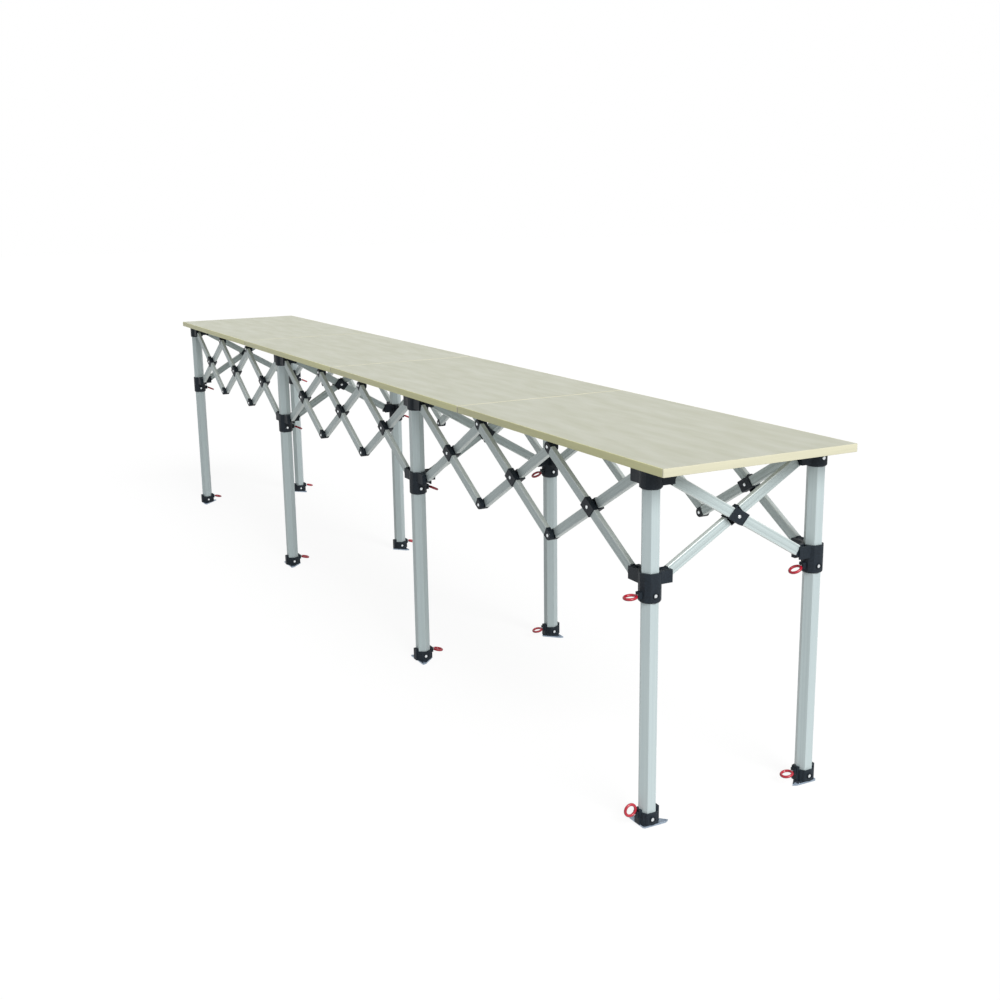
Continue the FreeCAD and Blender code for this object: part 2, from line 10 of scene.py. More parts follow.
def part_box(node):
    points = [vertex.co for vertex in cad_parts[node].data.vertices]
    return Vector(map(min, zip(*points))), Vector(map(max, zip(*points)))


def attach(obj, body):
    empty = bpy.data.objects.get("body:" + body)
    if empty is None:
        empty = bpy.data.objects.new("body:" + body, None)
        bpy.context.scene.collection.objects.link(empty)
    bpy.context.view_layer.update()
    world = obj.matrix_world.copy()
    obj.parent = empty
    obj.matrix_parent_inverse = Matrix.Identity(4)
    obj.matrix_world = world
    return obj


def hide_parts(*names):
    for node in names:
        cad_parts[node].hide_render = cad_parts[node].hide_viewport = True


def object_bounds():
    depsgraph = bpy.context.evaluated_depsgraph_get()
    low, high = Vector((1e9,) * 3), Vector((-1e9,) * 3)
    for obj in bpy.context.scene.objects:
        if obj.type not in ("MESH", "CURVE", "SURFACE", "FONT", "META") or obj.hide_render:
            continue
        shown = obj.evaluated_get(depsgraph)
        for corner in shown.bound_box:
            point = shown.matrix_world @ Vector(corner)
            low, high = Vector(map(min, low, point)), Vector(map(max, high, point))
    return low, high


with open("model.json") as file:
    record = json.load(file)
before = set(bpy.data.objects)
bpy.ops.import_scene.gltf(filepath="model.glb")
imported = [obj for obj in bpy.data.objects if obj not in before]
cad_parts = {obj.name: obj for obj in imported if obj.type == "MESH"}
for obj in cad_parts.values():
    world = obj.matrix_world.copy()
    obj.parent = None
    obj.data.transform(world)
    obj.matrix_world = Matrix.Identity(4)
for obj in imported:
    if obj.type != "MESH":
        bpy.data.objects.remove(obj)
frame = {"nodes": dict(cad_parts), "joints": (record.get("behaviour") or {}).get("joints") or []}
CAD_BOX = [list(corner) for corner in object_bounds()]

bl_info = {
    "name": "Folding lattice table",
    "version": (1, 0, 0),
    "blender": (4, 5, 0),
    "location": "View3D > Sidebar > Table",
    "description": "Dresses a folding table with boards, an aluminium scissor lattice and nylon fittings",
    "category": "Object",
}

BOARDS = (1, 2, 3, 4)
PAIRS = (1, 2, 3, 4)
END_PAIRS = (1, 4)
BAYS = (1, 2, 3)
STEPS = (1, 2, 3)
ROWS = (("front", -1), ("back", 1))
LAYERS = ("outer", "inner")
# Side along Y that the pull ring of each leg points to, front leg and back leg.
RING_SIDES = {1: (1, 1), 2: (1, 1), 3: (1, -1), 4: (-1, -1)}
# The one ring that stands on edge and the one that lies nearly level; the others hang a little.
UPRIGHT_RING = ("foot", 4, "front")
LEVEL_RING = ("slider", 4, "front")
X_AXIS = np.array((1.0, 0.0, 0.0))
Y_AXIS = np.array((0.0, 1.0, 0.0))
Z_AXIS = np.array((0.0, 0.0, 1.0))

# Places in the frame: leg axes along X, pivots of the lattice and faces of the fittings.
joint_places = {joint["name"]: joint.get("pos_m") for joint in frame["joints"]}
leg_places = {pair: sum(corner.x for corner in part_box(f"legs_{pair}")) / 2 for pair in PAIRS}
first_pivot = joint_places["fold"]
SIDE_OFFSET = first_pivot[0] - leg_places[2]
ROW = -first_pivot[1]
TOP = first_pivot[2]
BOTTOM = joint_places["slider_2_hold"][2]
PITCH = (leg_places[2] - leg_places[1] - 2 * SIDE_OFFSET) / len(STEPS)
CROSS_OFFSET = ROW + joint_places["cross_1_outer"][1]
COLLAR_RADIUS = leg_places[1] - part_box("top_brackets_1")[0].x
PLATE_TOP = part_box("foot_collars_1")[0].z
SLIDER_PIN = sum(corner.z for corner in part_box("slider_pins_1")) / 2

# Points in the arcs of a bar's or a board's corner, a cap's end, an arris, a rib, a rivet and a hole's lip.
CORNER_POINTS = 4
CAP_POINTS = 13
ARRIS_POINTS = 5
RIB_POINTS = 7
DOME_POINTS = 5
LIP_POINTS = 5
# Sides of a turned fitting and of a ring's wire, and stations round a ring.
TURNED_SIDES = 20
WIRE_SIDES = 14
RING_STATIONS = 36
# Degrees up to which an edge is shaded smooth, on new pieces and on copies of solids.
SMOOTH_ANGLE = 40.0
COPY_SMOOTH_ANGLE = 30.0
# Copies of solids: distance in metres at which points merge, and degrees up to which faces count as flat.
MERGE_DISTANCE = 1e-6
FLAT_ANGLE = 1.0
# Values of a noise that give the darkest and the lightest tone of a finish, and the noise's own roughness.
NOISE_LOW, NOISE_HIGH = 0.3, 0.7
NOISE_ROUGHNESS = 0.55
# Where a tube ends inside its cap, as a share of the cap's length.
TUBE_STOP = 0.9
# Grooves of a bar, as shares of half its height.
GROOVE_PLACES = (0.5, -0.5)
# Edging of a board in metres: its lip over the face, the lip's depth at its edge and at the strip, how far
# the strip sinks into the core, the chamfer below, and how far the face lies under the lip.
EDGING_LIP = 0.0015
LIP_EDGE_DEPTH = 0.0012
LIP_ROOT_DEPTH = 0.0016
EDGING_SINK = 0.0002
EDGING_CHAMFER = 0.0004
FACE_DROP = 0.0001
# Faces of an inner leg above this height are tube, and those below are foot plate.
TUBE_START = PLATE_TOP * 1.05
# Ribs of a foot collar: directions of its corners and degrees to each side of them, place of their flat
# sides as a share of the collar's radius, and metres from their tops to the collar's.
RIB_CORNERS = (45, 135, 225, 315)
RIB_ASIDE = 9
RIB_ROOT = 0.97
RIB_STOP = 0.002

# Stage: the floor in metres, its colour, and the share and strength of its own glow.
FLOOR_REACH = 30.0
FLOOR_DROP = 0.0005
FLOOR_COLOUR = "#CBCBCA"
GLOW_SHARE = 0.84
GLOW_STRENGTH = 1.1
WHITE = (1.0, 1.0, 1.0, 1.0)
# Soft light from all round, and a key light from beyond the near end of the table, its width in degrees.
SOFT_COLOUR = "#F6F8FA"
SOFT_STRENGTH = 0.24
KEY_STRENGTH = 3.6
KEY_WIDTH = 35.0
KEY_DIRECTION = (-0.79, -0.03, -0.615)
# The camera at the photograph's viewing angle: its place in metres, its directions, its sensor in
# millimetres and its focal length in sensor widths.
CAMERA_PLACE = (3.8579, -1.6738, 1.3251)
CAMERA_FORWARD = (-0.8617, 0.45206, -0.23047)
CAMERA_RIGHT = (0.46746, 0.8839, -0.01405)
SENSOR_WIDTH = 36.0
FOCAL_WIDTHS = 1.2908


def linear(code):
    """Linear RGBA of an sRGB hex colour."""
    shares = [int(code[at:at + 2], 16) / 255 for at in (1, 3, 5)]
    return (*[s / 12.92 if s <= 0.04045 else ((s + 0.055) / 1.055) ** 2.4 for s in shares], 1.0)


def length_value(label, text, metres):
    """A length property in metres."""
    return bpy.props.FloatProperty(name=label, description=text, default=metres, unit="LENGTH", precision=5)


def angle_value(label, text, degrees):
    """An angle property from degrees."""
    return bpy.props.FloatProperty(name=label, description=text, default=math.radians(degrees),
                                   subtype="ANGLE")


def colour_value(label, text, code):
    """A colour property from an sRGB hex colour."""
    return bpy.props.FloatVectorProperty(name=label, description=text, subtype="COLOR", size=4,
                                         min=0.0, max=1.0, default=linear(code))


class TableSizes(bpy.types.PropertyGroup):
    """Sizes of the visible pieces, in metres, and the angles of the rings."""
    bar_height: length_value("Bar height", "Height of a bar's section", 0.024)
    bar_thickness: length_value("Bar thickness", "Thickness of a bar's section", 0.012)
    running_gap: length_value("Running gap", "Room left by each face that slides past another", 0.0002)
    bar_corner: length_value("Bar corner", "Rounded corners of a bar's section", 0.0016)
    groove_depth: length_value("Groove depth", "Depth of the extrusion lines of a bar", 0.00035)
    cap_length: length_value("Cap length", "End cap from its pivot to the tube", 0.015)
    sleeve_wall: length_value("Sleeve wall", "Wall of a crossing sleeve", 0.0025)
    sleeve_length: length_value("Sleeve length", "Crossing sleeve along its bar", 0.042)
    sleeve_lean: length_value("Sleeve lean", "Ends of a crossing sleeve out of square, each edge", 0.0028)
    rivet_radius: length_value("Rivet radius", "Head of a pivot rivet", 0.0042)
    rivet_height: length_value("Rivet height", "Dome of a pivot rivet", 0.0014)
    sight_radius: length_value("Sight hole radius", "Round hole in a fitting that shows the leg", 0.0052)
    rib_radius: length_value("Rib radius", "Half-round ribs of a foot collar", 0.0013)
    foot_collar_height: length_value("Foot collar height", "Wall of a foot collar above its plate", 0.027)
    board_edging: length_value("Board edging", "Thickness of the edging strip", 0.0008)
    board_round: length_value("Board rounding", "Rounded arris of the edging", 0.0014)
    board_corner: length_value("Board corner", "Rounded corners of a board, seen from above", 0.003)
    ring_radius: length_value("Ring radius", "Pull ring outside", 0.016)
    ring_wire: length_value("Ring wire", "Radius of the pull ring's dipped wire", 0.0032)
    shank_radius: length_value("Shank radius", "Shank of a pull pin", 0.0030)
    moulded_round: length_value("Moulded rounding", "Rounded edges of the nylon fittings", 0.0008)
    leg_round: length_value("Leg rounding", "Rounded corners of the leg extrusion", 0.0006)
    slider_ring_swing: angle_value("Slider ring swing", "Slider rings hang below their pins", -25.0)
    foot_ring_swing: angle_value("Foot ring swing", "Foot rings hang below their pins", -12.0)
    level_ring_swing: angle_value("Level ring swing", "The near slider ring lies nearly level", -6.0)
    upright_ring_swing: angle_value("Upright ring swing", "The near foot ring stands above its pin", 50.0)


class TableColours(bpy.types.PropertyGroup):
    """Colours of the finishes."""
    board_light: colour_value("Board, light", "Pale ground of the board face", "#D2D3C5")
    board_dark: colour_value("Board, dark", "Streaks of the board face", "#C8C9B7")
    edging: colour_value("Edging, ends", "Edging strip on the ends of the boards", "#D0CDB3")
    # The long sides' edging is a lighter, yellower copy of the ends' edging: painted fill light on the
    # shaded long sides.
    long_edging_painted_fill: colour_value("Edging, long sides", "Deeper edging strip on the long sides", "#E0DFAD")
    leg_light: colour_value("Leg, light", "Anodised legs", "#BBC8C9")
    leg_dark: colour_value("Leg, dark", "Lines of the leg extrusion", "#B2BFC1")
    bar_light: colour_value("Bar, light", "Anodised skin of the bars", "#BCC8C8")
    bar_dark: colour_value("Bar, dark", "Lines of the bar extrusion", "#AFBCBC")
    # The narrow sides of the bars are painted lighter than the wide sides, as painted light falling on
    # them.
    bar_sides_painted_light: colour_value("Bar, narrow sides", "Narrow sides of the bars, rubbed bright", "#D2DAD8")
    nylon_light: colour_value("Nylon, light", "Worn nylon", "#1B252E")
    nylon_dark: colour_value("Nylon, dark", "Moulded nylon", "#111920")
    zinc_light: colour_value("Zinc, light", "Zinc plating", "#A6B3C1")
    zinc_dark: colour_value("Zinc, dark", "Zinc plating, dull flakes", "#8695A6")
    ring: colour_value("Ring", "Dipped pull ring", "#B5152F")
    rivet: colour_value("Rivet", "Bright rivet heads", "#E4E9EB")


def sizes():
    """The sizes as the user set them."""
    return bpy.context.scene.table_sizes


def colours():
    """The colours as the user set them."""
    return bpy.context.scene.table_colours


def shaded(colour, share):
    """A darker tone of a colour: a share of each channel."""
    return [channel * share for channel in colour[:3]] + [1.0]


def add(tree, kind, sockets=(), **settings):
    """Add a node with its settings; each socket takes a constant or a link."""
    made = tree.nodes.new(kind)
    for key, value in settings.items():
        setattr(made, key, value)
    for key, value in dict(sockets).items():
        if isinstance(value, bpy.types.NodeSocket):
            tree.links.new(value, made.inputs[key])
        else:
            made.inputs[key].default_value = value
    return made


def patterned(name, light, dark, coordinates, feature, bump, roughness, surface, detail=3.0, band=None):
    """A finish whose colour, roughness and relief follow one noise.

    feature holds the size of the pattern along each coordinate in metres, bump the height of the relief in
    metres, roughness the values of the light and the dark tone, and surface the constant sockets of the
    shader. band adds bands of another colour across the first coordinate: their spacing and width in
    metres, and the colour.
    """
    if name in bpy.data.materials:
        return bpy.data.materials[name]
    material = bpy.data.materials.new(name)
    material.use_nodes = True
    tree = material.node_tree
    tree.nodes.clear()
    place = add(tree, "ShaderNodeTexCoord")
    scaled = add(tree, "ShaderNodeMapping", {"Vector": place.outputs[coordinates],
                                             "Scale": [1.0 / size for size in feature]})
    noise = add(tree, "ShaderNodeTexNoise", {"Vector": scaled.outputs["Vector"], "Scale": 1.0,
                                             "Detail": detail, "Roughness": NOISE_ROUGHNESS})
    toned = {"Value": noise.outputs["Fac"], "From Min": NOISE_LOW, "From Max": NOISE_HIGH}
    spread = add(tree, "ShaderNodeMapRange", toned)
    colour = add(tree, "ShaderNodeMix", {"Factor": spread.outputs["Result"], "A": tuple(dark),
                                         "B": tuple(light)}, data_type="RGBA")
    if band:
        spacing, width, band_colour = band
        parted = add(tree, "ShaderNodeSeparateXYZ", {"Vector": place.outputs[coordinates]})
        across = add(tree, "ShaderNodeMath", {0: parted.outputs["X"], 1: spacing}, operation="MODULO")
        inside = add(tree, "ShaderNodeMath", {0: across.outputs[0], 1: width}, operation="LESS_THAN")
        colour = add(tree, "ShaderNodeMix", {"Factor": inside.outputs[0], "A": colour.outputs[2],
                                             "B": tuple(band_colour)}, data_type="RGBA")
    rough = add(tree, "ShaderNodeMapRange", {**toned, "To Min": roughness[1], "To Max": roughness[0]})
    relief = add(tree, "ShaderNodeBump", {"Height": noise.outputs["Fac"], "Distance": bump,
                                          "Strength": 1.0})
    shader = add(tree, "ShaderNodeBsdfPrincipled", {
        "Base Color": colour.outputs[2], "Roughness": rough.outputs["Result"],
        "Normal": relief.outputs["Normal"], **surface})
    add(tree, "ShaderNodeOutputMaterial", {"Surface": shader.outputs["BSDF"]})
    return material


def board_face():
    """Birch veneer, sanded and sealed matt: pale, with faint cloudy streaks along the grain."""
    c = colours()
    return patterned("sealed_birch_veneer", c.board_light, c.board_dark, "Object",
                     feature=(0.16, 0.035, 0.035), bump=0.00002, roughness=(0.58, 0.68),
                     surface={"Specular IOR Level": 0.12}, detail=6.0)


def board_edging(name, colour):
    """Extruded vinyl edging: one even straw colour with faint lines along the strip."""
    return patterned(name, colour, shaded(colour, 0.93), "Object",
                     feature=(0.12, 0.12, 0.003), bump=0.00001, roughness=(0.4, 0.5),
                     surface={"Specular IOR Level": 0.4})


def leg_aluminium():
    """Satin anodised extrusion: an even pale skin with soft shine and faint lines along the leg."""
    c = colours()
    # The lines of a real extrusion are finer than a pixel, so they are drawn 3 mm wide. The oxide skin
    # scatters most of the light, so the metal shows through by a fifth.
    return patterned("satin_anodised_aluminium", c.leg_light, c.leg_dark, "Object",
                     feature=(0.003, 0.003, 0.5), bump=0.000004, roughness=(0.36, 0.46),
                     surface={"Metallic": 0.2})


def bar_aluminium():
    """Anodised flat tube: lines along each bar, and narrow sides painted lighter as painted light."""
    c = colours()
    section = bar_section()
    steps = np.linalg.norm(np.diff(section, axis=0, append=section[:1]), axis=1)
    # The section starts with one narrow side, from the first corner arc to the end of the second.
    narrow = float(steps[:2 * CORNER_POINTS - 1].sum())
    # The lines are drawn 2 mm wide so that they show.
    # The band paints both narrow sides of each bar lighter, as painted light.
    return patterned("anodised_flat_tube", c.bar_light, c.bar_dark, "UV",
                     feature=(0.002, 0.3, 1.0), bump=0.000004, roughness=(0.38, 0.5),
                     surface={"Metallic": 0.2}, band=(float(steps.sum()) / 2, narrow, c.bar_sides_painted_light))


def black_nylon():
    """Moulded glass-filled nylon: near black, matt, with a fine moulded grain."""
    c = colours()
    return patterned("moulded_black_nylon", c.nylon_light, c.nylon_dark, "Object",
                     feature=(0.004, 0.004, 0.004), bump=0.00008, roughness=(0.5, 0.62),
                     surface={"Specular IOR Level": 0.25}, detail=5.0)


def zinc_plate():
    """Zinc-plated steel: blue-grey flakes with a dull shine."""
    c = colours()
    return patterned("zinc_plated_steel", c.zinc_light, c.zinc_dark, "Object",
                     feature=(0.008, 0.008, 0.008), bump=0.00003, roughness=(0.32, 0.48),
                     surface={"Metallic": 1.0}, detail=4.0)


def dipped_red():
    """Red vinyl dip over steel wire: glossy, slightly uneven."""
    c = colours()
    return patterned("red_vinyl_dip", c.ring, shaded(c.ring, 0.8), "Object",
                     feature=(0.006, 0.006, 0.006), bump=0.00006, roughness=(0.3, 0.4),
                     surface={"Specular IOR Level": 0.5, "Coat Weight": 0.3})


def rivet_steel():
    """Bright pressed rivet heads with faint scuffs."""
    c = colours()
    return patterned("bright_rivet_steel", c.rivet, shaded(c.rivet, 0.85), "Object",
                     feature=(0.002, 0.002, 0.002), bump=0.00002, roughness=(0.22, 0.34),
                     surface={"Metallic": 1.0})


def corners_of(grid):
    """Corners of the quads of a grid: (s, p), (s + 1, p), (s + 1, p + 1), (s, p + 1) for each s and p."""
    return np.stack((grid[:-1, :-1], grid[1:, :-1], grid[1:, 1:], grid[:-1, 1:]), axis=2)


def loft(rings, looped=False):
    """Skin through rings of points.

    rings has the shape (stations, points, 3): point (s, p) joins (s + 1, p), (s + 1, p + 1) and (s, p + 1),
    with p taken round the ring. Open lofts are closed at both ends by a fan to the ring's mean point, and
    looped ones join the last ring to the first. The result is the points, the corners of the quads and of
    the fans, and the UV of every corner: metres round the ring and metres along the stations.
    """
    stations, count = rings.shape[:2]
    points = rings.reshape(-1, 3)
    index = np.arange(stations * count).reshape(stations, count)
    if looped:
        index = np.concatenate((index, index[:1]))
    index = np.concatenate((index, index[:, :1]), axis=1)
    grid = points[index]
    around = np.linalg.norm(np.diff(grid, axis=1, prepend=grid[:, :1]), axis=2).cumsum(axis=1)
    along = np.linalg.norm(np.diff(grid, axis=0, prepend=grid[:1]), axis=2).cumsum(axis=0)
    uv = np.stack((around, along), axis=-1)
    quads = corners_of(index).reshape(-1, 4)
    quad_uvs = corners_of(uv).reshape(-1, 4, 2)
    if looped:
        return points, quads, np.empty((0, 3), dtype=int), quad_uvs, np.empty((0, 3, 2))
    hubs = len(points) + np.array((0, 1))
    points = np.concatenate((points, rings[[0, -1]].mean(axis=1)))
    fans, fan_uvs = [], []
    for end, hub in zip((0, -1), hubs):
        fans.append(np.stack((index[end, :-1], index[end, 1:], np.full(count, hub)), axis=-1))
        fan_uvs.append(np.stack((uv[end, :-1], uv[end, 1:], uv[end, :-1]), axis=1))
    return points, quads, np.concatenate(fans), quad_uvs, np.concatenate(fan_uvs)


def gathered(skins):
    """Several skins as one: points stacked, and corner numbers raised by the points before them."""
    points, quads, fans, quad_uvs, fan_uvs = zip(*skins)
    starts = np.cumsum([0] + [len(some) for some in points[:-1]])
    quads, fans = (np.concatenate([some + start for some, start in zip(group, starts)])
                   for group in (quads, fans))
    uvs = [np.concatenate(group).reshape(-1, 2) for group in (quad_uvs, fan_uvs)]
    return np.concatenate(points), quads.tolist() + fans.tolist(), np.concatenate(uvs)


def piece(name, skins, material, body, rounding=0.0):
    """One object from skins: faces turned outwards, smooth up to an angle, riding on a body."""
    points, faces, uvs = gathered(skins)
    mesh = bpy.data.meshes.new(name)
    mesh.from_pydata(points.tolist(), [], faces)
    mesh.uv_layers.new(name="surface").data.foreach_set("uv", uvs.astype(np.float32).ravel())
    shell = bmesh.new()
    shell.from_mesh(mesh)
    bmesh.ops.recalc_face_normals(shell, faces=shell.faces)
    shell.to_mesh(mesh)
    shell.free()
    made = bpy.data.objects.new(name, mesh)
    bpy.context.scene.collection.objects.link(made)
    mesh.materials.append(material)
    return dressed(made, body, rounding, SMOOTH_ANGLE)


def dressed(made, body, rounding, smooth):
    """Shading, rounded edges and body of a piece."""
    made.data.shade_smooth()
    made.data.set_sharp_from_angle(angle=math.radians(smooth))
    if rounding:
        bevel = made.modifiers.new("rounded_edges", "BEVEL")
        bevel.width = rounding
        bevel.segments = 2
        bevel.limit_method = "ANGLE"
        bevel.angle_limit = math.radians(smooth)
        bevel.harden_normals = True
    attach(made, body)
    return made


def rounded_copy(node, name, material, body, rounding, upper=None):
    """A copy of a solid with its triangles merged into flat faces and its edges rounded.

    upper holds a height in metres and the material of the faces whose centres lie above it.
    """
    mesh = frame["nodes"][node].data.copy()
    mesh.name = name
    shell = bmesh.new()
    shell.from_mesh(mesh)
    bmesh.ops.remove_doubles(shell, verts=shell.verts, dist=MERGE_DISTANCE)
    bmesh.ops.dissolve_limit(shell, angle_limit=math.radians(FLAT_ANGLE), verts=shell.verts,
                             edges=shell.edges)
    shell.to_mesh(mesh)
    shell.free()
    mesh.materials.clear()
    mesh.materials.append(material)
    if upper:
        height, upper_material = upper
        mesh.materials.append(upper_material)
        centres = np.empty((len(mesh.polygons), 3), dtype=np.float32)
        mesh.polygons.foreach_get("center", centres.ravel())
        mesh.polygons.foreach_set("material_index", (centres[:, 2] > height).astype(np.int32))
    made = bpy.data.objects.new(name, mesh)
    bpy.context.scene.collection.objects.link(made)
    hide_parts(node)
    return dressed(made, body, rounding, COPY_SMOOTH_ANGLE)


def placed(outline, origin, along, up):
    """Points of a flat outline in space: origin plus its two coordinates along two directions."""
    return origin + outline[:, :1] * along + outline[:, 1:] * up


def slab(outline, origin, along, up, out, start, end):
    """A flat outline carried from start to end along out."""
    flat = placed(outline, origin, along, up)
    return loft(np.stack((flat + out * start, flat + out * end)))


def across_of(out):
    """Two directions at right angles to a level direction: one level, one upright."""
    level = np.cross(out, Z_AXIS)
    return level, np.cross(level, out)


def turned(profile, centre, out, looped=False):
    """A profile turned about an axis: each (radius, height) gives a circle at that height along out."""
    level, upright = across_of(out)
    turn = np.linspace(0, 2 * np.pi, TURNED_SIDES, endpoint=False)
    circle = np.cos(turn)[:, None] * level + np.sin(turn)[:, None] * upright
    return loft(centre + profile[:, :1, None] * circle + profile[:, 1:, None] * out, looped)


def rivet(centre, out):
    """A domed head on a short rim.

    A circle of radius r cos(t) lies at the height h (sin(t) + rim), with t from 0 to 80 degrees, above a
    root that is sunk into the fitting.
    """
    s = sizes()
    steepest, rim, root = 80, 0.15, -0.4
    tilt = np.radians(np.linspace(0, steepest, DOME_POINTS))
    spread = np.concatenate(((1.0,), np.cos(tilt)))
    rise = np.concatenate(((root,), np.sin(tilt) + rim))
    return turned(np.stack((s.rivet_radius * spread, s.rivet_height * rise), axis=-1), centre, out)


def sight_hole(centre, out):
    """The rim of a round hole, and the bright disc seen in it, a little to one side.

    Both profiles are in shares of the hole's radius. The rim's is a half circle on two upright sides, and
    the disc's an upright side and a low cone.
    """
    radius, root = sizes().sight_radius, -0.3
    lip_middle, lip_round, lip_base = 1.18, 0.18, 0.12
    bend = np.radians(np.linspace(0, 180, LIP_POINTS))
    lip = np.stack((lip_middle + lip_round * np.cos(bend), lip_base + lip_round * np.sin(bend)), axis=-1)
    rim = np.concatenate((((lip_middle + lip_round, root),), lip, ((lip_middle - lip_round, root),)))
    disc_radius, disc_edge, cone_radius, cone_top, aside = 0.75, 0.02, 0.5, 0.05, 0.25
    disc = np.array(((disc_radius, root), (disc_radius, disc_edge), (cone_radius, cone_top)))
    # The disc is moved aside so that a crescent of the black fitting shows in the hole as painted shade.
    shift = across_of(out)[0] * radius * aside
    return turned(radius * rim, centre, out, looped=True), turned(radius * disc, centre + shift, out)


def bar_section():
    """Outline of a bar: a rounded rectangle with two shallow grooves in each wide side.

    The corners are quarter circles. Each groove is a notch whose flat and two slopes are two depths wide.
    """
    s = sizes()
    half, thick = s.bar_height / 2, s.bar_thickness - s.running_gap
    corner, deep = s.bar_corner, s.groove_depth
    quarter = np.radians(np.linspace(0, 90, CORNER_POINTS))
    arc = corner * np.stack((np.cos(quarter), np.sin(quarter)), axis=-1)
    turns = [np.array(((1, 0), (0, 1))), np.array(((0, 1), (-1, 0))),
             np.array(((-1, 0), (0, -1))), np.array(((0, -1), (1, 0)))]
    centres = np.array(((thick - corner, half - corner), (corner, half - corner),
                        (corner, corner - half), (thick - corner, corner - half)))
    arcs = [centre + arc @ turn for centre, turn in zip(centres, turns)]
    notch = np.array(((0.0, 3 * deep), (deep, deep), (deep, -deep), (0.0, -3 * deep)))
    near = np.concatenate([notch + (0.0, half * place) for place in GROOVE_PLACES])
    far = np.array((thick, 0.0)) - near
    return np.concatenate((arcs[0], arcs[1], near, arcs[2], arcs[3], far)) + (s.running_gap, 0.0)


def bar_line(start, end, out):
    """Length, direction along and direction across of a bar between two pivots."""
    along = end - start
    length = np.linalg.norm(along)
    along = along / length
    return length, along, np.cross(out, along)


def bar_parts(start, end, out, loose_ends):
    """Tube, black fittings and rivets of one bar.

    The bar runs from its top pivot to its bottom pivot and lies on the out side of the leg plane. A cap's
    outline is a half circle about the pivot with straight sides, and a sleeve's a leaning rectangle.
    loose_ends tells, for the top and the bottom end, whether its rivet shows: it doesn't inside a fork.
    """
    s = sizes()
    length, along, up = bar_line(start, end, out)
    section = bar_section()
    stop = s.cap_length * TUBE_STOP
    stops = np.array((stop, length - stop))
    tube = loft(start + stops[:, None, None] * along + section[:, :1] * out + section[:, 1:] * up)

    half = s.bar_height / 2
    bend = np.radians(np.linspace(90, 270, CAP_POINTS))
    cap = np.concatenate((half * np.stack((np.cos(bend), np.sin(bend)), axis=-1),
                          ((s.cap_length, -half), (s.cap_length, half))))
    mirrored_cap = np.stack((length - cap[:, 0], cap[:, 1]), axis=-1)
    fittings = [slab(outline, start, along, up, out, s.running_gap, s.bar_thickness)
                for outline in (cap, mirrored_cap)]

    middle = start + along * length / 2
    # The ends of the sleeve lean the way the crossing bar does.
    other = along * np.array((-1, -1, 1))
    lean = s.sleeve_lean * np.sign(np.dot(other, up) * np.dot(other, along))
    wide, reach = half + s.sleeve_wall, s.sleeve_length / 2
    sleeve = np.array(((reach + lean, wide), (reach - lean, -wide),
                       (-reach - lean, -wide), (lean - reach, wide)))
    thick = s.bar_thickness + s.sleeve_wall
    fittings.append(slab(sleeve, middle, along, up, out, s.running_gap, thick))

    heads = [rivet(middle + out * thick, out)]
    for pivot, loose in zip((start, end), loose_ends):
        if loose:
            heads.append(rivet(pivot + out * s.bar_thickness, out))
    return [tube], fittings, heads


def side_bar(bay, layer, step, row):
    """Pivots and outward direction of a side bar in one row."""
    left = leg_places[bay] + SIDE_OFFSET + (step - 1) * PITCH
    right = left + PITCH
    y = row * ROW
    out = Y_AXIS * row
    if layer == "outer":
        return np.array((left, y, TOP)), np.array((right, y, BOTTOM)), out
    return np.array((right, y, TOP)), np.array((left, y, BOTTOM)), -out


def cross_bar(pair, layer):
    """Pivots and outward direction of a cross bar."""
    x, reach = leg_places[pair], ROW - CROSS_OFFSET
    front, back = -reach, reach
    if layer == "outer":
        return np.array((x, front, TOP)), np.array((x, back, BOTTOM)), X_AXIS
    return np.array((x, back, TOP)), np.array((x, front, BOTTOM)), -X_AXIS


class BarsOperator(bpy.types.Operator):
    """Make the scissor bars: grooved tubes, nylon caps and sleeves, and rivets"""
    bl_idname = "folding_table.bars"
    bl_label = "Scissor bars"

    def execute(self, context):
        s = sizes()
        jobs = {}
        for bay in BAYS:
            for layer in LAYERS:
                for step in STEPS:
                    # A bar end is held by a fork only where the bay meets a leg.
                    at_left, at_right = step != STEPS[0], step != STEPS[-1]
                    loose = (at_left, at_right) if layer == "outer" else (at_right, at_left)
                    jobs[f"side_bar_{bay}_{layer}_{step}"] = [
                        bar_parts(*side_bar(bay, layer, step, row), loose) for _, row in ROWS]
        for pair in PAIRS:
            for layer in LAYERS:
                jobs[f"cross_bar_{pair}_{layer}"] = [bar_parts(*cross_bar(pair, layer), (False, False))]
        for node, made in jobs.items():
            tubes, fittings, heads = [sum(group, []) for group in zip(*made)]
            tube = piece(node + ".tube", tubes, bar_aluminium(), node)
            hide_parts(node)
            piece(node + ".fittings", fittings, black_nylon(), node, s.moulded_round)
            piece(node + ".rivets", heads, rivet_steel(), node)
        return {"FINISHED"}


def edging_section(top, under):
    """Outline of the edging, from the board's outer face inwards, between two heights.

    It is a strip with a quarter-round arris above, a lip over the board's face and a chamfer below.
    """
    s = sizes()
    strip, arris = s.board_edging, s.board_round
    bend = np.radians(np.linspace(0, 90, ARRIS_POINTS))
    upper = np.stack((-arris + arris * np.cos(bend), top - arris + arris * np.sin(bend)), axis=-1)
    lower = np.array(((-strip - EDGING_LIP, top), (-strip - EDGING_LIP, top - LIP_EDGE_DEPTH),
                      (-strip - EDGING_SINK, top - LIP_ROOT_DEPTH), (-strip - EDGING_SINK, under),
                      (-EDGING_CHAMFER, under), (0.0, EDGING_CHAMFER + under)))
    return np.concatenate((upper, lower))


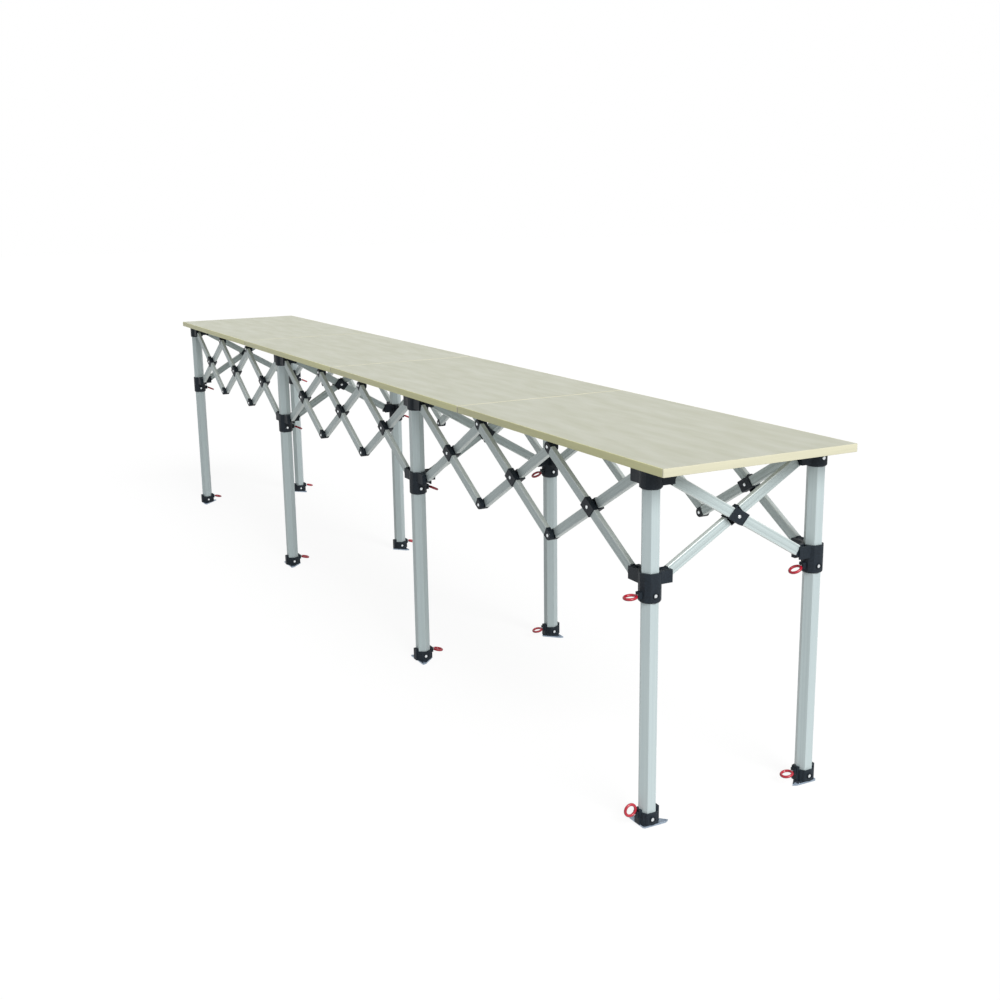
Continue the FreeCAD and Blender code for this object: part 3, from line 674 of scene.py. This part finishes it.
class BoardsOperator(bpy.types.Operator):
    """Make the boards: a veneered core with a rounded edging strip round it"""
    bl_idname = "folding_table.boards"
    bl_label = "Boards"

    def execute(self, context):
        s, c = sizes(), colours()
        corner = s.board_corner
        # Seen from above, each corner is a quarter circle about its own centre, front left corner first.
        quarter = np.radians(np.linspace(0, 90, CORNER_POINTS))
        turn = (np.radians((180, 270, 0, 90))[:, None] + quarter).ravel()
        outwards = np.stack((np.cos(turn), np.sin(turn)), axis=-1)
        around = np.repeat(((-1, -1), (1, -1), (1, 1), (-1, 1)), CORNER_POINTS, axis=0)
        # The long sides follow the first and the third corner, and take the painted fill light colour.
        long_sides = np.isin(np.arange(len(around)), (CORNER_POINTS - 1, 3 * CORNER_POINTS - 1))
        for number in BOARDS:
            node = f"board_{number}"
            low, high = (np.array(end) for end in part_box(node))
            centre, half = (low + high) / 2, (high - low) / 2
            top, under = half[2], s.running_gap - half[2]
            pivots = around * (half[:2] - corner)
            core = pivots + outwards * (corner - s.board_edging)
            face = slab(core, centre, X_AXIS, Y_AXIS, Z_AXIS, under, top - FACE_DROP)
            board = piece(node + ".core", [face], board_face(), node)
            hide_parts(node)
            section = edging_section(top, under)
            flat = pivots[:, None, :] + outwards[:, None, :] * (corner + section[:, :1])
            level = np.broadcast_to(section[:, 1:], (*flat.shape[:2], 1))
            rings = centre + np.concatenate((flat, level), axis=2)
            edging = piece(node + ".edging", [loft(rings, looped=True)],
                           board_edging("straw_vinyl_edging", c.edging), node)
            # The long sides get the second, lighter and yellower edging colour as painted fill light.
            edging.data.materials.append(board_edging("deep_straw_vinyl_edging", c.long_edging_painted_fill))
            slots = np.repeat(long_sides, len(section)).astype(np.int32)
            edging.data.polygons.foreach_set("material_index", slots)
        return {"FINISHED"}


def feet(pair):
    """Places of the two leg axes of a pair on the floor."""
    return [np.array((leg_places[pair], row * ROW, 0.0)) for _, row in ROWS]


class LegsOperator(bpy.types.Operator):
    """Dress the hexagon legs, the telescopic legs and their foot plates"""
    bl_idname = "folding_table.legs"
    bl_label = "Legs and feet"

    def execute(self, context):
        s = sizes()
        for pair in PAIRS:
            rounded_copy(f"legs_{pair}", f"legs_{pair}.extrusion", leg_aluminium(), f"leg_pair_{pair}",
                         s.leg_round)
            rounded_copy(f"inner_legs_{pair}", f"inner_legs_{pair}.foot", zinc_plate(),
                         f"inner_leg_pair_{pair}", s.leg_round,
                         upper=(TUBE_START, leg_aluminium()))
        return {"FINISHED"}


def rib(foot, azimuth, radius, low, high):
    """A half-round rib up a collar: a half circle carried from low to high, its flat side in the wall."""
    out = np.array((math.cos(azimuth), math.sin(azimuth), 0.0))
    level, _ = across_of(out)
    bend = np.linspace(-np.pi / 2, np.pi / 2, RIB_POINTS)
    section = sizes().rib_radius * (np.cos(bend)[:, None] * out + np.sin(bend)[:, None] * level)
    return loft(foot + radius * out + section + np.array((low, high))[:, None, None] * Z_AXIS)


class FittingsOperator(bpy.types.Operator):
    """Dress the nylon brackets, sliders and foot collars and add their rivets, ribs and sight holes"""
    bl_idname = "folding_table.fittings"
    bl_label = "Brackets, sliders and foot collars"

    def execute(self, context):
        s = sizes()
        collar_top = PLATE_TOP + s.foot_collar_height
        collar_middle = (PLATE_TOP + collar_top) / 2
        rib_places = np.radians([corner + aside for corner in RIB_CORNERS
                                 for aside in (-RIB_ASIDE, RIB_ASIDE)])
        for pair in PAIRS:
            leg, slider = f"leg_pair_{pair}", f"slider_pair_{pair}"
            for kind, body in (("top_brackets", leg), ("sliders", slider), ("foot_collars", leg)):
                node = f"{kind}_{pair}"
                rounded_copy(node, node + ".moulding", black_nylon(), body, s.moulded_round)
            if pair in END_PAIRS:
                # A rivet in the free side of the back bracket holds its leg.
                side = X_AXIS * math.copysign(1.0, leg_places[pair])
                head = rivet(feet(pair)[1] + Z_AXIS * TOP + side * COLLAR_RADIUS, side)
                piece(f"top_brackets_{pair}.rivet", [head], rivet_steel(), leg)
            for kind, body, level in (("sliders", slider, SLIDER_PIN),
                                      ("foot_collars", leg, collar_middle)):
                places = [foot + Z_AXIS * level + X_AXIS * COLLAR_RADIUS for foot in feet(pair)]
                rims, discs = zip(*[sight_hole(place, X_AXIS) for place in places])
                piece(f"{kind}_{pair}.sight_rims", rims, black_nylon(), body)
                piece(f"{kind}_{pair}.sight_discs", discs, rivet_steel(), body)
            ribs = [rib(foot, azimuth, COLLAR_RADIUS * RIB_ROOT, PLATE_TOP, collar_top - RIB_STOP)
                    for foot in feet(pair) for azimuth in rib_places]
            piece(f"foot_collars_{pair}.ribs", ribs, black_nylon(), leg)
        return {"FINISHED"}


def pull_ring(low, high, side, upright, swing):
    """A pull pin: a round shank along Y and a ring, a circle carried round a larger circle.

    The box of the solid gives the tip of the shank and the place where the ring begins. The ring is swung
    up by an angle about that place: its centre lies one radius away along cos(a) Y + sin(a) Z.
    """
    s = sizes()
    wire, turn = s.ring_wire, np.linspace(0, 2 * np.pi, WIRE_SIDES, endpoint=False)
    x, z = (low[0] + high[0]) / 2, (low[2] + high[2]) / 2
    tip, far = (low[1], high[1]) if side > 0 else (high[1], low[1])
    hold = np.array((x, far - side * 2 * s.ring_radius, z))
    aim = math.cos(swing) * side * Y_AXIS + math.sin(swing) * Z_AXIS
    level = np.cross(X_AXIS, aim) if upright else X_AXIS
    across = np.cross(level, aim)
    sweep = np.linspace(0, 2 * np.pi, RING_STATIONS, endpoint=False)
    outwards = np.cos(sweep)[:, None] * aim + np.sin(sweep)[:, None] * level
    reach = s.ring_radius - wire + wire * np.cos(turn)
    rings = (hold + aim * s.ring_radius + outwards[:, None, :] * reach[:, None]
             + across * (wire * np.sin(turn))[:, None])
    circle = s.shank_radius * (np.cos(turn)[:, None] * X_AXIS + np.sin(turn)[:, None] * Z_AXIS)
    stops = np.array((tip, hold[1] + side * wire))
    shank = loft(np.array((x, 0.0, z)) + stops[:, None, None] * Y_AXIS + circle)
    return loft(rings, looped=True), shank


class PinsOperator(bpy.types.Operator):
    """Make the pull pins with their red rings"""
    bl_idname = "folding_table.pins"
    bl_label = "Pull pins"

    def execute(self, context):
        s = sizes()
        swings = {"slider": s.slider_ring_swing, "foot": s.foot_ring_swing}
        special_swings = {UPRIGHT_RING: s.upright_ring_swing, LEVEL_RING: s.level_ring_swing}
        for pair in PAIRS:
            members = list(zip(ROWS, RING_SIDES[pair]))
            for kind in swings:
                # The two pins of a pair share a node where they point the same way.
                if len(set(RING_SIDES[pair])) > 1:
                    groups = {f"{kind}_pin_{pair}_{member[0][0]}": [member] for member in members}
                else:
                    groups = {f"{kind}_pins_{pair}": members}
                for node, group in groups.items():
                    low, high = (np.array(corner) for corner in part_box(node))
                    # A shared node's box spans both rows, and each pin takes its own end of it.
                    spare = Y_AXIS * (len(group) - 1) * 2 * ROW
                    pins = []
                    for (place, row), side in group:
                        key = (kind, pair, place)
                        swing = special_swings.get(key, swings[kind])
                        pins.append(pull_ring(low + spare * (row > 0), high - spare * (row < 0), side,
                                              key == UPRIGHT_RING, swing))
                    rings, shanks = zip(*pins)
                    ring = piece(node + ".ring", rings, dipped_red(), node)
                    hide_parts(node)
                    piece(node + ".shank", shanks, rivet_steel(), node)
        return {"FINISHED"}


def seen_rays(tree):
    """The share of a ray that the eye follows straight, in a mirror or through a clear body."""
    path = add(tree, "ShaderNodeLightPath")
    direct = add(tree, "ShaderNodeMath", {0: path.outputs["Is Camera Ray"],
                                          1: path.outputs["Is Glossy Ray"]}, operation="MAXIMUM")
    return add(tree, "ShaderNodeMath", {0: direct.outputs[0], 1: path.outputs["Is Transmission Ray"]},
               operation="MAXIMUM").outputs[0]


def make_floor(scene):
    """A pale floor, near white of its own, so that only soft shadows show on it."""
    material = bpy.data.materials.new("pale_studio_floor")
    material.use_nodes = True
    tree = material.node_tree
    tree.nodes.clear()
    share = add(tree, "ShaderNodeMath", {0: seen_rays(tree), 1: GLOW_SHARE}, operation="MULTIPLY")
    matt = add(tree, "ShaderNodeBsdfDiffuse", {"Color": linear(FLOOR_COLOUR)})
    glow = add(tree, "ShaderNodeEmission", {"Color": WHITE, "Strength": GLOW_STRENGTH})
    mixed = add(tree, "ShaderNodeMixShader", {0: share.outputs[0], 1: matt.outputs[0], 2: glow.outputs[0]})
    add(tree, "ShaderNodeOutputMaterial", {"Surface": mixed.outputs[0]})
    mesh = bpy.data.meshes.new("floor")
    corners = np.array(((-1, -1, 0), (1, -1, 0), (1, 1, 0), (-1, 1, 0))) * FLOOR_REACH
    mesh.from_pydata(corners.tolist(), [], [(0, 1, 2, 3)])
    mesh.materials.append(material)
    floor = bpy.data.objects.new("floor", mesh)
    floor.location.z = CAD_BOX[0][2] - FLOOR_DROP
    scene.collection.objects.link(floor)


def make_light(scene):
    """Soft light from a world that looks white, and a wide key light."""
    world = bpy.data.worlds.new("soft_studio")
    scene.world = world
    world.use_nodes = True
    tree = world.node_tree
    tree.nodes.clear()
    soft = add(tree, "ShaderNodeBackground", {"Color": linear(SOFT_COLOUR), "Strength": SOFT_STRENGTH})
    white = add(tree, "ShaderNodeBackground", {"Color": WHITE, "Strength": 1.0})
    mixed = add(tree, "ShaderNodeMixShader", {0: seen_rays(tree), 1: soft.outputs[0], 2: white.outputs[0]})
    add(tree, "ShaderNodeOutputWorld", {"Surface": mixed.outputs[0]})
    key = bpy.data.lights.new("key_light", "SUN")
    key.energy = KEY_STRENGTH
    key.angle = math.radians(KEY_WIDTH)
    light = bpy.data.objects.new("key_light", key)
    light.rotation_euler = Vector(KEY_DIRECTION).to_track_quat("-Z", "Y").to_euler()
    scene.collection.objects.link(light)


def make_camera(scene):
    """The camera, with its axes set from its forward and right directions."""
    lens = bpy.data.cameras.new("camera")
    lens.sensor_width = SENSOR_WIDTH
    lens.lens = FOCAL_WIDTHS * SENSOR_WIDTH
    camera = bpy.data.objects.new("camera", lens)
    forward, right = Vector(CAMERA_FORWARD).normalized(), Vector(CAMERA_RIGHT).normalized()
    upward = right.cross(forward).normalized()
    columns = Matrix((right, upward, -forward)).transposed()
    camera.matrix_world = Matrix.Translation(CAMERA_PLACE) @ columns.to_4x4()
    scene.collection.objects.link(camera)
    scene.camera = camera


class StageOperator(bpy.types.Operator):
    """Make the floor, the soft light and the camera"""
    bl_idname = "folding_table.stage"
    bl_label = "Stage"

    def execute(self, context):
        context.scene.view_settings.view_transform = "Standard"
        make_floor(context.scene)
        make_light(context.scene)
        make_camera(context.scene)
        return {"FINISHED"}


class TablePanel(bpy.types.Panel):
    """The table's pieces, in the order in which they are made"""
    bl_idname = "VIEW3D_PT_folding_table"
    bl_label = "Folding table"
    bl_space_type = "VIEW_3D"
    bl_region_type = "UI"
    bl_category = "Table"

    def draw(self, context):
        for operator in OPERATORS:
            self.layout.operator(operator.bl_idname)


OPERATORS = (BoardsOperator, LegsOperator, FittingsOperator, BarsOperator, PinsOperator, StageOperator)
CLASSES = (TableSizes, TableColours, *OPERATORS, TablePanel)


def register():
    """Register the classes and hang the properties on the scene."""
    for cls in CLASSES:
        bpy.utils.register_class(cls)
    bpy.types.Scene.table_sizes = bpy.props.PointerProperty(type=TableSizes)
    bpy.types.Scene.table_colours = bpy.props.PointerProperty(type=TableColours)


def unregister():
    """Take the properties and the classes away again."""
    del bpy.types.Scene.table_colours
    del bpy.types.Scene.table_sizes
    for cls in reversed(CLASSES):
        bpy.utils.unregister_class(cls)


def main():
    """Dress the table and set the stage."""
    register()
    bpy.ops.folding_table.boards()
    bpy.ops.folding_table.legs()
    bpy.ops.folding_table.fittings()
    bpy.ops.folding_table.bars()
    bpy.ops.folding_table.pins()
    bpy.ops.folding_table.stage()


if __name__ == "__main__":
    main()
